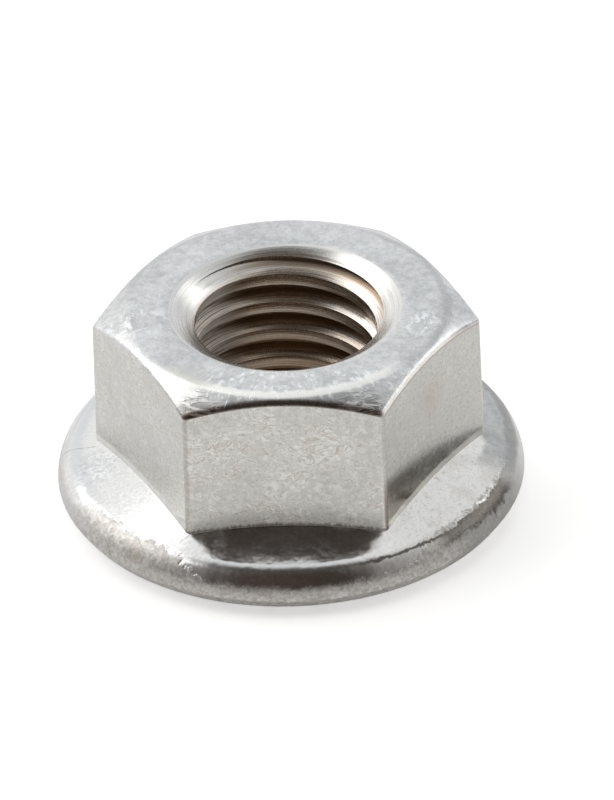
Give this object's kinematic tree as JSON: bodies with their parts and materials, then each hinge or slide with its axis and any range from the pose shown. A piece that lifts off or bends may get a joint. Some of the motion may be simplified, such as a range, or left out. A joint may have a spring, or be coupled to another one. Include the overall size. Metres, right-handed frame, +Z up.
{
  "type": "serrated flange nut",
  "caption": "Hexagon nut with a sloping round flange in one piece, a right-hand metric thread right through and radial locking teeth under the flange.",
  "frame": {"origin": "centre of the bearing face under the flange, on the thread's axis", "axes": "+Z runs up the thread's axis from the bearing face to the hexagon's top, -Y faces out of one wrench flat, and +X points over a hexagon corner"},
  "size_m": [0.0178, 0.0178, 0.008],
  "materials": {
    "stainless_steel": "satin"
  },
  "bodies": {
    "root": {"flange_nut": "stainless_steel"}
  },
  "joints": []
}
